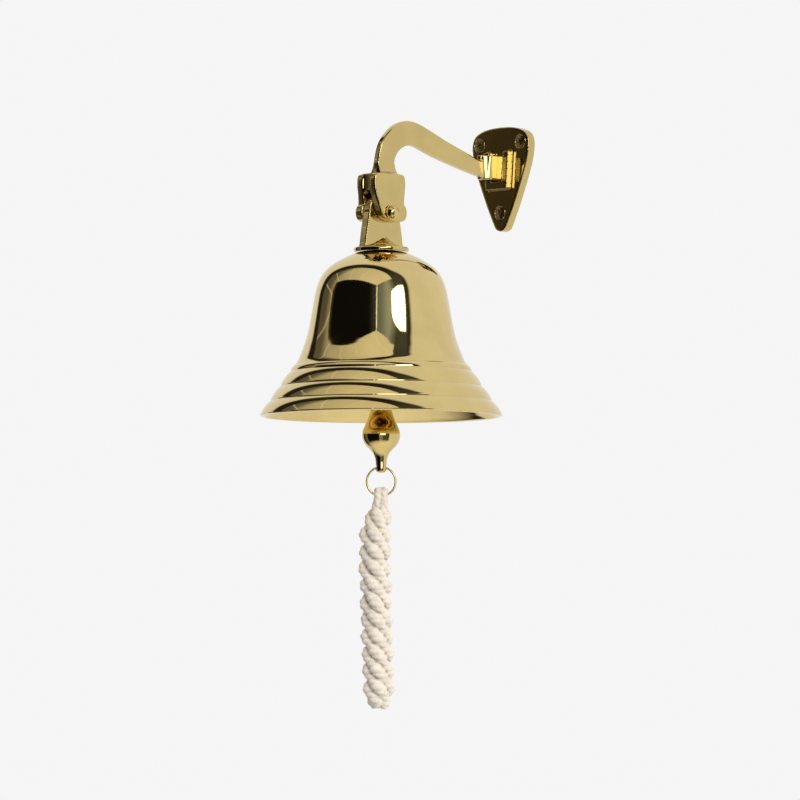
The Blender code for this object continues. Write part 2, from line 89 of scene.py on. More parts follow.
# ---------------------------------------------------------------- node helper

class Graph:
    """Builds shader nodes from plain calls, so that a formula reads like one."""

    def __init__(self, tree):
        self.tree = tree

    def node(self, kind, **settings):
        node = self.tree.nodes.new(kind)
        for name, value in settings.items():
            setattr(node, name, value)
        return node

    def feed(self, socket, value):
        if isinstance(value, bpy.types.NodeSocket):
            self.tree.links.new(value, socket)
        elif value is not None:
            socket.default_value = value

    def math(self, operation, *values, clamp=False):
        node = self.node("ShaderNodeMath", operation=operation, use_clamp=clamp)
        for socket, value in zip(node.inputs, values):
            self.feed(socket, value)
        return node.outputs[0]

    def add(self, a, b):
        return self.math("ADD", a, b)

    def sub(self, a, b):
        return self.math("SUBTRACT", a, b)

    def mul(self, a, b):
        return self.math("MULTIPLY", a, b)

    def ramp(self, value, low, high, to_low=0.0, to_high=1.0):
        """Smooth step of value from low to high. A falling step swaps to_low and to_high."""
        node = self.node("ShaderNodeMapRange", interpolation_type="SMOOTHSTEP")
        for socket, given in zip(node.inputs, (value, low, high, to_low, to_high)):
            self.feed(socket, given)
        return node.outputs[0]

    def within(self, value, low, high, soft=0.02):
        """1 between low and high, with soft edges."""
        rising = self.ramp(value, low - soft, low + soft)
        return self.mul(rising, self.ramp(value, high - soft, high + soft, 1.0, 0.0))

    def mix(self, factor, a, b):
        node = self.node("ShaderNodeMix", data_type="RGBA")
        self.feed(node.inputs["Factor"], factor)
        for socket, value in ((node.inputs[6], a), (node.inputs[7], b)):
            self.feed(socket, (*value, 1.0) if isinstance(value, tuple) and len(value) == 3 else value)
        return node.outputs[2]

    def noise(self, vector, scale, detail=2.0, roughness=0.5):
        node = self.node("ShaderNodeTexNoise")
        self.feed(node.inputs["Vector"], vector)
        node.inputs["Scale"].default_value = scale
        node.inputs["Detail"].default_value = detail
        node.inputs["Roughness"].default_value = roughness
        return node.outputs[0]


# ---------------------------------------------------------------- studio

BACKGROUND = (0.915, 0.915, 0.915)
WALL_LIGHT = (0.84, 0.845, 0.85)
WINDOW_LIGHT = (5.5, 5.5, 5.6)
LOW_WINDOW_LIGHT = (3.0, 3.1, 3.4)
SEAMS = (-1.52, -1.18, -0.86, -0.42, 0.06, 0.62)     # angles of the seams between the panels overhead
LIGHTS = (("soft_left", (-0.9, -2.1, 1.1), 1.4, 24.0),     # name, place and size in metres, watts
          ("soft_right", (2.3, -0.6, 0.6), 1.2, 36.0))


def make_world():
    """A studio seen by direction: a white wall behind, a dark doorway in front with pale panels round it,
    and one bright window on the right."""
    world = bpy.data.worlds.new("studio")
    bpy.context.scene.world = world
    world.use_nodes = True
    tree = world.node_tree
    tree.nodes.clear()
    g = Graph(tree)
    split = g.node("ShaderNodeSeparateXYZ")
    g.feed(split.inputs[0], g.node("ShaderNodeTexCoord").outputs["Generated"])
    x, y, z = split.outputs
    ahead = g.math("MAXIMUM", g.mul(y, -1.0), 0.001)
    across = g.math("DIVIDE", x, ahead)             # where the direction meets a plane in front of the wall
    up = g.math("DIVIDE", z, ahead)
    around = g.math("ARCTAN2", x, z)                # 0 overhead, a quarter turn towards +X
    spread = g.math("ARCCOSINE", g.mul(y, -1.0))    # angle away from straight ahead

    # panels overhead, a little darker towards the left
    tone = g.ramp(around, -1.9, 0.9, 0.30, 0.86)
    tone = g.mul(tone, g.ramp(across, -1.9, -0.9, 0.30, 1.0))
    panel = g.node("ShaderNodeCombineXYZ")
    for socket, share in zip(panel.inputs, (1.0, 0.97, 0.92)):
        g.feed(socket, g.mul(tone, share))
    colour = panel.outputs[0]
    for seam in SEAMS:
        line = g.within(around, seam - 0.012, seam + 0.012, 0.008)
        colour = g.mix(g.mul(line, 0.5), colour, (1.0, 0.95, 0.85))
    # the right-hand side: a grey-green screen, its bright edges and the window
    right = g.mul(g.ramp(around, 0.755, 0.775), g.ramp(across, 0.82, 0.84))
    screen = g.mix(g.ramp(across, 0.85, 1.75), (0.17, 0.20, 0.24), (0.38, 0.44, 0.50))
    screen = g.mix(g.ramp(spread, 1.12, 1.32), screen, (0.13, 0.145, 0.15))
    colour = g.mix(right, colour, screen)
    rounded = g.ramp(z, 0.40, 0.56, 1.19, 1.42)     # its left edge bows outwards
    window = g.mul(g.ramp(g.sub(spread, rounded), -0.015, 0.015), g.ramp(spread, 1.545, 1.57, 1.0, 0.0))
    window = g.mul(window, g.within(z, 0.26, 0.535, 0.02))
    window = g.mul(window, g.ramp(x, 0.0, 0.1))
    colour = g.mix(window, colour, WINDOW_LIGHT)
    for edge in (0.83, 1.70):
        line = g.mul(g.within(across, edge - 0.015, edge + 0.015, 0.01), g.within(up, -3.0, 0.8, 0.02))
        colour = g.mix(line, colour, (1.5, 1.5, 1.45))
    # the dark doorway
    olive = g.mix(g.ramp(across, 0.45, 0.82), (0.006, 0.006, 0.008), (0.05, 0.055, 0.06))
    olive = g.mix(g.ramp(across, -1.12, -0.92, 1.0, 0.0), olive, (0.070, 0.054, 0.030))
    door = g.mul(g.within(across, -1.16, 0.80, 0.015), g.ramp(up, 0.83, 0.86, 1.0, 0.0))
    colour = g.mix(door, colour, olive)
    # low bright windows on the right, which only upright faces see
    sweep = g.math("ARCTAN2", x, g.mul(y, -1.0))
    low = g.mul(g.within(sweep, 0.76, 1.28, 0.04), g.within(z, -0.08, 0.24, 0.04))
    # dark gap all round, then the wall
    gap = g.mix(g.ramp(x, 0.2, 0.9), (0.02, 0.02, 0.02), (0.075, 0.085, 0.085))
    gap = g.mix(g.ramp(spread, 1.56, 1.66), gap, (0.035, 0.03, 0.022))
    colour = g.mix(g.ramp(spread, 1.31, 1.34), colour, gap)
    colour = g.mix(g.mul(g.within(sweep, 0.98, 1.30, 0.06), g.ramp(z, -0.14, -0.10, 1.0, 0.0)), colour,
                   (0.10, 0.08, 0.05))
    colour = g.mix(window, colour, WINDOW_LIGHT)
    colour = g.mix(low, colour, LOW_WINDOW_LIGHT)
    widened = g.sub(spread, g.ramp(x, 0.3, 0.85, 0.0, 0.16))
    colour = g.mix(g.ramp(widened, 1.50, 1.60), colour, WALL_LIGHT)

    lit = g.node("ShaderNodeBackground")
    g.feed(lit.inputs["Color"], colour)
    plain = g.node("ShaderNodeBackground")
    plain.inputs["Color"].default_value = (*BACKGROUND, 1.0)
    choose = g.node("ShaderNodeMixShader")
    g.feed(choose.inputs[0], g.node("ShaderNodeLightPath").outputs["Is Camera Ray"])
    g.feed(choose.inputs[1], lit.outputs[0])
    g.feed(choose.inputs[2], plain.outputs[0])
    out = g.node("ShaderNodeOutputWorld")
    g.feed(out.inputs["Surface"], choose.outputs[0])


FLOOR_Z, FLOOR_RADIUS, FLOOR_SOLID = -0.8, 1.1, 0.3     # metres. Inside FLOOR_SOLID it doesn't fade


def make_floor():
    """A pale round floor whose edge fades out, so that it has no rim in any view."""
    mesh = bpy.data.meshes.new("floor")
    work = bmesh.new()
    bmesh.ops.create_circle(work, cap_ends=True, segments=96, radius=FLOOR_RADIUS)
    work.to_mesh(mesh)
    work.free()
    material = bpy.data.materials.new("pale_floor")
    material.use_nodes = True
    g = Graph(material.node_tree)
    shader = material.node_tree.nodes["Principled BSDF"]
    shader.inputs["Base Color"].default_value = (0.9, 0.9, 0.9, 1.0)
    shader.inputs["Roughness"].default_value = 1.0
    shader.inputs["Specular IOR Level"].default_value = 0.0
    far = g.node("ShaderNodeVectorMath", operation="LENGTH")
    g.feed(far.inputs[0], g.node("ShaderNodeTexCoord").outputs["Object"])
    g.feed(shader.inputs["Alpha"], g.ramp(far.outputs["Value"], FLOOR_SOLID, FLOOR_RADIUS * 0.98, 1.0, 0.0))
    mesh.materials.append(material)
    floor = bpy.data.objects.new("floor", mesh)
    floor.location = (0.0, 0.0, FLOOR_Z)
    bpy.context.scene.collection.objects.link(floor)


def make_lights():
    """Soft boxes that light the rope and the plain surfaces. Polished brass doesn't mirror them."""
    for name, place, size, energy in LIGHTS:
        data = bpy.data.lights.new(name, "AREA")
        data.size = size
        data.energy = energy
        light = bpy.data.objects.new(name, data)
        bpy.context.scene.collection.objects.link(light)
        light.location = place
        light.rotation_euler = (light.location - AIM).to_track_quat("Z", "Y").to_euler()
        light.visible_glossy = False
        light.visible_camera = False


make_world()
make_floor()
make_lights()


# ---------------------------------------------------------------- materials

def brass(name, colour, roughness, grain=0.0, mottle=0.03):
    """Polished brass: uneven polish, a faint mottle in its colour, and the lathe's lines round the axis."""
    material = bpy.data.materials.new(name)
    material.use_nodes = True
    g = Graph(material.node_tree)
    shader = material.node_tree.nodes["Principled BSDF"]
    shader.inputs["Metallic"].default_value = 1.0
    place = g.node("ShaderNodeTexCoord").outputs["Object"]
    cloud = g.noise(place, 55.0, 4.0, 0.55)
    fine = g.noise(place, 900.0, 2.0)
    dark = tuple(c * (1.0 - 2 * mottle) for c in colour)
    light = tuple(min(1.0, c * (1.0 + mottle)) for c in colour)
    g.feed(shader.inputs["Base Color"], g.mix(g.ramp(cloud, 0.3, 0.7), dark, light))
    rough = g.add(g.ramp(cloud, 0.35, 0.75, roughness * 0.75, roughness * 1.5), g.mul(fine, roughness * 0.3))
    g.feed(shader.inputs["Roughness"], rough)
    stretch = g.node("ShaderNodeMapping")
    g.feed(stretch.inputs["Vector"], place)
    stretch.inputs["Scale"].default_value = (0.02, 0.02, 1.0)
    lines = g.noise(stretch.outputs[0], 2500.0, 2.0)
    bump = g.node("ShaderNodeBump")
    bump.inputs["Strength"].default_value = 0.25
    bump.inputs["Distance"].default_value = 0.00002 * (1.0 + 4 * grain)
    g.feed(bump.inputs["Height"], g.add(g.mul(lines, grain), g.mul(cloud, 1.0)))
    g.feed(shader.inputs["Normal"], bump.outputs[0])
    return material


def cotton(name):
    """Undyed cotton: soft fuzz, slubs and fine twisted fibres, and painted shade, warm and dark, down in the
    crevices of the lay.
    """
    material = bpy.data.materials.new(name)
    material.use_nodes = True
    g = Graph(material.node_tree)
    shader = material.node_tree.nodes["Principled BSDF"]
    place = g.node("ShaderNodeTexCoord").outputs["Object"]
    cloud = g.noise(place, 160.0, 3.0, 0.6)
    fibre = g.node("ShaderNodeMapping")
    g.feed(fibre.inputs["Vector"], place)
    fibre.inputs["Rotation"].default_value = (0.3, 0.75, 0.5)
    fibre.inputs["Scale"].default_value = (1.0, 1.0, 0.16)
    threads = g.noise(fibre.outputs[0], 2600.0, 3.0, 0.65)
    depth = g.node("ShaderNodeNewGeometry").outputs["Pointiness"]
    colour = g.mix(g.ramp(cloud, 0.3, 0.7), (0.74, 0.655, 0.535), (0.83, 0.75, 0.64))
    colour = g.mix(g.mul(g.ramp(threads, 0.45, 0.75), 0.45), colour, (0.56, 0.48, 0.37))
    # painted shade: darker brown where pointiness finds the crevices of the lay
    colour = g.mix(g.ramp(depth, 0.43, 0.505, 0.6, 0.0), colour, (0.40, 0.32, 0.22))
    # painted shade: ambient occlusion darkens the colour further in the crevices
    painted_crevice_shade = g.node("ShaderNodeAmbientOcclusion", samples=6)
    painted_crevice_shade.inputs["Distance"].default_value = 0.004
    colour = g.mix(g.ramp(painted_crevice_shade.outputs["AO"], 0.25, 0.85, 0.85, 0.0), colour, (0.27, 0.205, 0.13))
    g.feed(shader.inputs["Base Color"], colour)
    shader.inputs["Roughness"].default_value = 0.95
    shader.inputs["Specular IOR Level"].default_value = 0.15
    shader.inputs["Sheen Weight"].default_value = 0.35
    shader.inputs["Sheen Roughness"].default_value = 0.5
    bump = g.node("ShaderNodeBump")
    bump.inputs["Strength"].default_value = 0.6
    bump.inputs["Distance"].default_value = 0.0005
    yarns = g.noise(place, 520.0, 2.0, 0.6)
    g.feed(bump.inputs["Height"], g.add(g.mul(threads, 0.5), g.mul(yarns, 1.6)))
    g.feed(shader.inputs["Normal"], bump.outputs[0])
    return material


MATERIALS = {
    "bell_brass": brass("bell_brass", (0.74, 0.575, 0.245), 0.045, grain=0.3),
    "bracket_brass": brass("bracket_brass", (0.66, 0.505, 0.205), 0.06),
    "fitting_brass": brass("fitting_brass", (0.72, 0.53, 0.20), 0.10, grain=0.4),
    "screw_brass": brass("screw_brass", (0.66, 0.48, 0.19), 0.26, grain=0.4),
    "clapper_brass": brass("clapper_brass", (0.74, 0.56, 0.22), 0.06, grain=0.4),
    "ring_brass": brass("ring_brass", (0.74, 0.57, 0.23), 0.08),
    "cotton_rope": cotton("cotton_rope"),
}


# ---------------------------------------------------------------- mesh helpers

def smooth_line(points, steps=8):
    """Points along a Catmull-Rom curve through the given ones, with steps spans between each pair."""
    given = np.array(points, float)
    ends = np.vstack([2 * given[0] - given[1], given, 2 * given[-1] - given[-2]])
    line = []
    for a, b, c, d in zip(ends, ends[1:], ends[2:], ends[3:]):
        for t in np.arange(steps) / steps:
            line.append(0.5 * (2 * b + (c - a) * t + (2 * a - 5 * b + 4 * c - d) * t ** 2
                               + (3 * b - a - 3 * c + d) * t ** 3))
    return np.array([*line, given[-1]])


def eased(points, rounds=4):
    """The same line with its small unevenness averaged out. Its two ends stay."""
    line = np.array(points, float)
    for _ in range(rounds):
        line[1:-1] = (line[:-2] + 2 * line[1:-1] + line[2:]) / 4
    return line


def new_piece(node, mesh, sharp=35.0, more=()):
    """The shown piece that stands for a CAD node, and for the nodes in more."""
    obj = bpy.data.objects.new(node + "_shown", mesh)
    bpy.context.scene.collection.objects.link(obj)
    mesh.materials.clear()
    mesh.materials.append(MATERIALS[SLOTS[node]])
    mesh.shade_smooth()
    if sharp:
        mesh.set_sharp_from_angle(angle=math.radians(sharp))
    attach(obj, PARTS[node])
    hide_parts(node, *more)
    return obj


def lathe(profile, matrix, steps=192, ring=False):
    """A mesh turned round its own Z from (radius, height) pairs in mm that run down its outer side."""
    profile = [(max(0.0, float(r)), float(z)) for r, z in profile]
    angles = [2 * math.pi * k / steps for k in range(steps)]
    verts, rows = [], []
    for r, z in profile:
        if r < 1e-6:
            rows.append([len(verts)] * steps)
            verts.append((0.0, 0.0, z * MM))
        else:
            rows.append(list(range(len(verts), len(verts) + steps)))
            verts += [(r * MM * math.cos(angle), r * MM * math.sin(angle), z * MM) for angle in angles]
    faces = []
    pairs = list(zip(rows, rows[1:])) + ([(rows[-1], rows[0])] if ring else [])
    for upper, lower in pairs:
        for k in range(steps):
            n = (k + 1) % steps
            corners = []
            for vert in (upper[k], lower[k], lower[n], upper[n]):
                if vert not in corners:
                    corners.append(vert)
            if len(corners) > 2:
                faces.append(corners)
    mesh = bpy.data.meshes.new("turned")
    mesh.from_pydata(verts, [], faces)
    mesh.transform(matrix)
    mesh.validate()
    return mesh


def prism(outline, low, high, turn):
    """A closed mesh of the given outline (mm) between two depths along its own Z, turned by a matrix."""
    count = len(outline)
    verts = [(x * MM, y * MM, depth * MM) for depth in (low, high) for x, y in outline]
    faces = [tuple(range(count))[::-1], tuple(range(count, 2 * count))]
    faces += [(k, (k + 1) % count, (k + 1) % count + count, k + count) for k in range(count)]
    mesh = bpy.data.meshes.new("prism")
    mesh.from_pydata(verts, [], faces)
    mesh.transform(turn)
    outward(mesh)
    return mesh


def outward(mesh):
    """Turns a mesh's faces to look outwards."""
    work = bmesh.new()
    work.from_mesh(mesh)
    bmesh.ops.recalc_face_normals(work, faces=work.faces)
    work.to_mesh(mesh)
    work.free()


def joined(meshes):
    """One mesh with all the given ones in it."""
    work = bmesh.new()
    for mesh in meshes:
        work.from_mesh(mesh)
    result = bpy.data.meshes.new("joined")
    work.to_mesh(result)
    work.free()
    return result


def modified(mesh, kind, **settings):
    """The mesh as a modifier leaves it."""
    obj = bpy.data.objects.new("work", mesh)
    bpy.context.scene.collection.objects.link(obj)
    modifier = obj.modifiers.new("work", kind)
    for name, value in settings.items():
        setattr(modifier, name, value)
    bpy.context.view_layer.update()
    result = bpy.data.meshes.new_from_object(obj.evaluated_get(bpy.context.evaluated_depsgraph_get()))
    bpy.data.objects.remove(obj)
    return result


def carved(mesh, tool):
    """The mesh with a tool mesh cut out of it."""
    cutter = bpy.data.objects.new("cutter", tool)
    bpy.context.scene.collection.objects.link(cutter)
    result = modified(mesh, "BOOLEAN", operation="DIFFERENCE", solver="EXACT", object=cutter)
    bpy.data.objects.remove(cutter)
    return result


def cast(meshes, voxel, rounds):
    """Overlapping closed meshes as one skin, its edges and corners softened as casting and polishing do."""
    skin = modified(joined(meshes), "REMESH", mode="VOXEL", voxel_size=voxel * MM, use_smooth_shade=True)
    return modified(skin, "SMOOTH", factor=0.5, iterations=rounds)


def cad_mesh(node):
    """A copy of a CAD node's own mesh, in the frame."""
    mesh = frame["nodes"][node].data.copy()
    mesh.transform(frame["nodes"][node].matrix_world)
    return mesh


# Own X, Y and Z are out, up and along world X
SIDE = Matrix.Translation(AXIS) @ Matrix(((0, 0, 1, 0), (1, 0, 0, 0), (0, 1, 0, 0), (0, 0, 0, 1)))
FACE = Matrix(((1, 0, 0, 0), (0, 0, -1, 0), (0, 1, 0, 0), (0, 0, 0, 1)))   # own X, Y, Z: world X, Z and -Y
ALONG_X = Matrix.Rotation(math.radians(90.0), 4, "Y")
UPRIGHT = Matrix.Translation(at(0.0))                      # on the bell's axis, at the mouth's height


def facing_room(x, y, z):
    """Own Z points out of the wall, from a place in mm in the frame."""
    return Matrix.Translation(Vector((x, y, z)) * MM) @ Matrix.Rotation(math.radians(90.0), 4, "X")


# ---------------------------------------------------------------- bell

# Height and radius, where two bands meet
CREASES = [(31.8, 53.7), (28.0, 56.1), (18.8, 62.3), (9.7, 68.6), (1.2, 75.0)]
BAND_SWELL = [30.0, 15.0, 15.0, 15.0]     # half of each band's arc, in degrees
BAND_DROP = [0.0, 0.55, 0.55, 0.0]        # height of the upright edge under each band
# Height and radius down the outside, then radius and height round the lip and up the inside
WAIST = [(103.0, 9.0), (102.2, 14.0), (100.2, 19.5), (96.3, 27.2), (92.0, 33.2), (86.5, 37.5), (79.0, 40.4),
         (70.0, 42.15), (60.0, 43.85), (50.3, 45.95), (42.9, 48.35), (39.1, 49.8), (36.6, 50.85)]
FLARE = [WAIST[-1], (34.2, 51.9), (32.8, 52.85), CREASES[0]]
INSIDE = [(71.9, 1.3), (62.0, 14.0), (54.6, 24.2), (49.0, 33.4), (45.6, 42.0), (43.0, 50.3), (40.7, 60.0),
          (38.8, 70.0), (36.8, 79.0), (33.9, 86.0), (29.6, 91.4), (24.0, 95.2), (17.0, 97.8), (10.0, 98.5)]
LIP = [(75.0, 1.2), (74.95, 0.8), (74.75, 0.45), (74.4, 0.2), (73.9, 0.03), (73.3, 0.03), (72.7, 0.25),
       (72.2, 0.7)]
CROWN_TOP, CROWN_UNDER, CROWN_BORE = 103.0, 98.5, 4.3
BELL_STEPS = 448


def band(start, end, half_turn, steps=14):
    """Points of a convex arc between two creases, without its end."""
    (z0, r0), (z1, r1) = start, end
    chord = Vector((r1 - r0, z1 - z0))
    normal = Vector((-chord.y, chord.x)).normalized()
    swell = math.radians(half_turn)
    radius = chord.length / (2 * math.sin(swell))
    middle = Vector(((r0 + r1) / 2, (z0 + z1) / 2)) - normal * radius * math.cos(swell)
    arm = Vector((r0, z0)) - middle
    return [tuple(middle + Matrix.Rotation(-2 * swell * step / steps, 2) @ arm) for step in range(steps)]


def make_bell():
    waist = eased([(r, z) for z, r in smooth_line(WAIST + FLARE[1:], 12)], 12)
    outside = [tuple(p) for p in waist[:-1]]
    for start, end, half_turn, drop in zip(CREASES, CREASES[1:], BAND_SWELL, BAND_DROP):
        edge = (end[0] + drop, end[1])
        outside += band(start, edge, half_turn)
        if drop:
            low, radius = end
            outside += [(radius - 0.07, edge[0] + 0.05), (radius, edge[0] - 0.06), (radius + 0.02, low + 0.1)]
    inside = [tuple(p) for p in eased(smooth_line(INSIDE, 8), 10)]
    profile = [(CROWN_BORE, CROWN_TOP)] + outside + LIP + inside + [(CROWN_BORE, CROWN_UNDER)]
    new_piece("bell_shell", lathe(profile, UPRIGHT, steps=BELL_STEPS, ring=True), sharp=14.0)


# ---------------------------------------------------------------- arm

# Out and height along the swan neck's two edges and the fork's half outline
OUTER_EDGE = [(-6.0, 146.0), (-4.8, 154.5), (-4.1, 160.9), (-1.2, 170.4), (4.9, 177.7), (11.0, 182.3),
              (18.7, 185.2), (28.3, 184.6), (41.0, 180.0), (53.0, 175.1), (65.4, 170.7), (73.5, 167.8),
              (80.0, 165.4), (87.4, 163.5)]
INNER_EDGE = [(87.4, 153.8), (77.6, 155.7), (65.4, 158.7), (53.1, 161.8), (41.0, 165.2), (30.4, 169.0),
              (23.1, 170.2), (17.0, 168.6), (12.0, 164.9), (9.4, 159.7), (9.7, 155.5), (10.6, 152.2),
              (10.4, 146.0)]
FORK_EDGE = [(7.4, 150.7), (10.9, 150.3), (12.3, 149.0), (12.8, 146.8), (12.9, 143.0), (12.2, 138.0),
             (11.6, 134.0), (11.2, 131.6), (12.6, 130.0), (13.4, 127.0), (13.0, 124.0), (11.4, 121.9),
             (9.0, 121.0)]
FORK_CUT_BACK = [(3.0, 120.9), (-1.0, 121.4), (-4.0, 122.4), (-6.6, 124.3), (-8.4, 127.0), (-9.7, 130.0),
                 (-10.9, 133.5), (-12.0, 137.5), (-12.7, 141.0)]     # the near ear's front edge, going up
ARM_HALF, FORK_HALF, SLOT_HALF, SLOT_TOP = 2.3, 9.2, 3.3, 140.0
CASTING_VOXEL = 0.34


def tapered(mesh, low, high, low_scale, high_scale):
    """Widens a mesh along X from one height to another, with steps of scale."""
    for vert in mesh.vertices:
        share = min(1.0, max(0.0, ((vert.co.z / MM - MOUTH_Z) - low) / (high - low)))
        vert.co.x *= low_scale + (high_scale - low_scale) * share
    return mesh


def foot_mesh(low, high, grow=0.0, front=None):
    """The foot's section from above: a flare, the block ahead of the rails and the dovetail between them."""
    half = [(5.6 + grow, -10.0), (7.3 + grow, -6.3 + grow)]
    if front is None:
        half = [(1.6, -24.6), (2.2, -22.6), (3.3, -21.0), (4.5, -19.9), (5.1, -19.2), (5.5, -10.4)] + half
    else:
        half = [(5.6 + grow, front)] + half
    mesh = prism(half + [(-x, y) for x, y in half[::-1]], low, high, Matrix())
    return tapered(mesh, -1.3 - MOUTH_Z, 14.0 - MOUTH_Z, 0.875, 1.125)


def make_arm():
    outline = [tuple(p) for p in eased(smooth_line(OUTER_EDGE, 8), 8)]
    outline += [tuple(p) for p in eased(smooth_line(INNER_EDGE, 8), 8)]
    neck = prism(outline, -ARM_HALF, ARM_HALF, SIDE)
    half = [tuple(p) for p in smooth_line(FORK_EDGE, 5)]
    fork = [(u, z) for u, z in half] + [(-u, z) for u, z in half[::-1]]
    cut_back = [(u, z) for u, z in half] + FORK_CUT_BACK + [(-u, z) for u, z in half[::-1] if z > 142.0]
    ears = [tapered(prism(outline, low, high, SIDE), 132.0, 135.5, 1.0, 0.913)
            for outline, low, high in ((cut_back, SLOT_HALF, FORK_HALF), (fork, -FORK_HALF, -SLOT_HALF))]
    arch = [(SLOT_HALF * math.cos(math.radians(a)), SLOT_TOP - SLOT_HALF * (1 - math.sin(math.radians(a))))
            for a in range(0, 181, 12)]
    arch_foot = SLOT_TOP - SLOT_HALF
    crotch = [(4.6, 150.6), (4.6, arch_foot)] + arch + [(-4.6, arch_foot), (-4.6, 150.6)]
    crotch = prism(crotch, -11.9, 11.9, Matrix.Translation(AXIS) @ FACE)
    flare = [(7.3, 148.0), (7.2, 150.4), (5.9, 151.0), (4.6, 152.0), (3.6, 153.4), (2.9, 155.2), (2.2, 158.0)]
    flare = prism(flare + [(-x, z) for x, z in flare[::-1]], -9.4, 4.8, Matrix.Translation(AXIS) @ FACE)
    mesh = cast([neck, *ears, crotch, flare, foot_mesh(-1.3, 14.0)], CASTING_VOXEL, rounds=16)
    new_piece("bracket_arm", mesh, sharp=0)


# ---------------------------------------------------------------- wall plate and screws

# World X and Z from the plate's middle
PLATE_EDGE = [(0.0, 33.0), (9.7, 32.5), (17.3, 31.0), (23.0, 28.1), (25.6, 22.4), (24.6, 13.3),
              (21.4, 3.6), (14.0, -13.4), (6.6, -27.9), (3.9, -31.8), (0.0, -33.2)]
SCREW_PLACES = {"wall_screw_upper_left": (-18.6, 22.7), "wall_screw_upper_right": (18.6, 22.7),
                "wall_screw_lower": (0.0, -21.3)}


def make_plate():
    half = [tuple(p) for p in smooth_line(PLATE_EDGE, 8)]
    rim = [(-x, z) for x, z in half[::-1]] + half[1:-1]
    plate = prism(rim, 0.0, 6.0, FACE)
    rails = [(9.6, -6.6), (11.4, 17.2), (-11.4, 17.2), (-9.6, -6.6)]
    rails = prism(rails, 5.0, 10.0, FACE)
    rails = carved(rails, foot_mesh(-1.6, 24.0, 0.3, -11.0))
    skin = cast([plate, rails], CASTING_VOXEL, rounds=14)
    for x, z in SCREW_PLACES.values():
        sink = [(0.0, 8.0), (6.9, 8.0), (2.2, 3.3), (2.2, 0.5), (0.0, 0.5)]
        skin = carved(skin, lathe(sink, facing_room(x, 0.0, z), 64))
    new_piece("wall_plate", skin, sharp=40.0)


def make_screws():
    head = [(0.0, 0.55), (1.6, 0.5), (3.0, 0.33), (4.0, 0.12), (4.4, -0.05), (4.5, -0.25), (1.9, -2.8),
            (1.9, -5.7), (0.0, -5.7)]
    for node, (x, z) in SCREW_PLACES.items():
        place = facing_room(x, -6.15, z)
        mesh = lathe(head, place, 72)
        for turn in (20.0, 110.0):
            slot = [(-2.4, -0.42), (2.4, -0.42), (2.4, 0.42), (-2.4, 0.42)]
            slot = prism(slot, -1.8, 2.0, place @ Matrix.Rotation(math.radians(turn), 4, "Z"))
            mesh = carved(mesh, slot)
        mesh = modified(mesh, "BEVEL", width=0.00012, segments=2, limit_method="ANGLE")
        new_piece(node, mesh, sharp=30.0)


# ---------------------------------------------------------------- pivot and hanger

PIN_Z, TONGUE_HALF, TONGUE_RADIUS = 126.5, 3.0, 12.4


def make_pivot():
    pin = Matrix.Translation(at(PIN_Z)) @ ALONG_X
    bolt = [(0.0, 14.0), (0.9, 13.95), (1.9, 13.7), (2.8, 13.2), (3.5, 12.5), (3.95, 11.7), (4.2, 10.9),
            (4.2, 10.6), (4.05, 10.5), (2.5, 10.5), (2.5, -14.8), (1.8, -15.5), (0.0, -15.5)]
    new_piece("pivot_bolt", lathe(bolt, pin, 64), sharp=40.0)
    washer = [(2.8, 10.2), (4.5, 10.2), (4.75, 10.1), (4.8, 9.85), (4.75, 9.6), (4.5, 9.5), (2.8, 9.5)]
    new_piece("pivot_washer_right", lathe(washer, pin, 64, ring=True))
    new_piece("pivot_washer_left", lathe(washer, pin @ Matrix.Rotation(math.pi, 4, "X"), 64, ring=True))
    for node, voxel in (("pivot_nut", 0.13), ("crown_nut", 0.2), ("clapper_lock_nut", 0.16)):
        new_piece(node, cast([cad_mesh(node)], voxel, rounds=3), sharp=0)


TONGUE_EDGE = [(16.2, 104.9), (15.7, 107.2), (15.3, 110.0), (14.2, 117.0), (13.2, 122.0)]
FLANGE = [(0.0, 109.2), (5.0, 108.8), (8.5, 107.4), (11.5, 106.2), (14.5, 105.4), (16.2, 105.2),
          (17.0, 104.7), (17.2, 103.8), (16.9, 102.2), (14.2, 102.6), (9.2, 103.3), (4.0, 103.3),
          (4.0, 89.0), (3.0, 88.0), (0.0, 88.0)]      # down to the end of the stud


def make_hanger():
    arc = [(TONGUE_RADIUS * math.cos(math.radians(a)), PIN_Z + TONGUE_RADIUS * math.sin(math.radians(a)))
           for a in range(0, 181, 5)]
    tongue = TONGUE_EDGE + arc + [(-u, z) for u, z in TONGUE_EDGE[::-1]]
    cove = [(0.0, 112.5), (3.0, 112.5), (3.6, 110.6), (5.2, 109.2), (8.0, 107.9), (8.0, 106.0), (0.0, 106.0)]
    parts = [lathe(FLANGE, UPRIGHT, 160), prism(tongue, -TONGUE_HALF, TONGUE_HALF, SIDE),
             lathe(cove, UPRIGHT, 120)]
    for mesh in parts:
        outward(mesh)
    new_piece("crown_hanger", cast(parts, 0.28, rounds=12), sharp=0)


# ---------------------------------------------------------------- clapper and ring

BALL = [(5.8, 8.0), (6.4, 6.0), (7.1, 2.4), (8.4, -1.6), (10.0, -5.2), (11.3, -8.4), (11.85, -10.8),
        (11.7, -13.0), (10.9, -15.7), (9.3, -18.1), (7.0, -20.4), (5.1, -22.7), (3.9, -25.4),
        (3.4, -28.2), (3.3, -32.6), (2.6, -34.3), (0.0, -34.9)]      # radius, height
BALL_BORE = 3.3
RING_WIRE, RING_APART = 0.66, 0.56      # radius of the split ring's wire, and each turn's offset sideways
TAIL_HOLE_Z, RING_RADIUS, RING_TURN = -31.3, 8.9, math.radians(46.0)
WIRE_WAY = Matrix.Rotation(RING_TURN, 4, "Z")              # own X runs along the ring's lowest wire


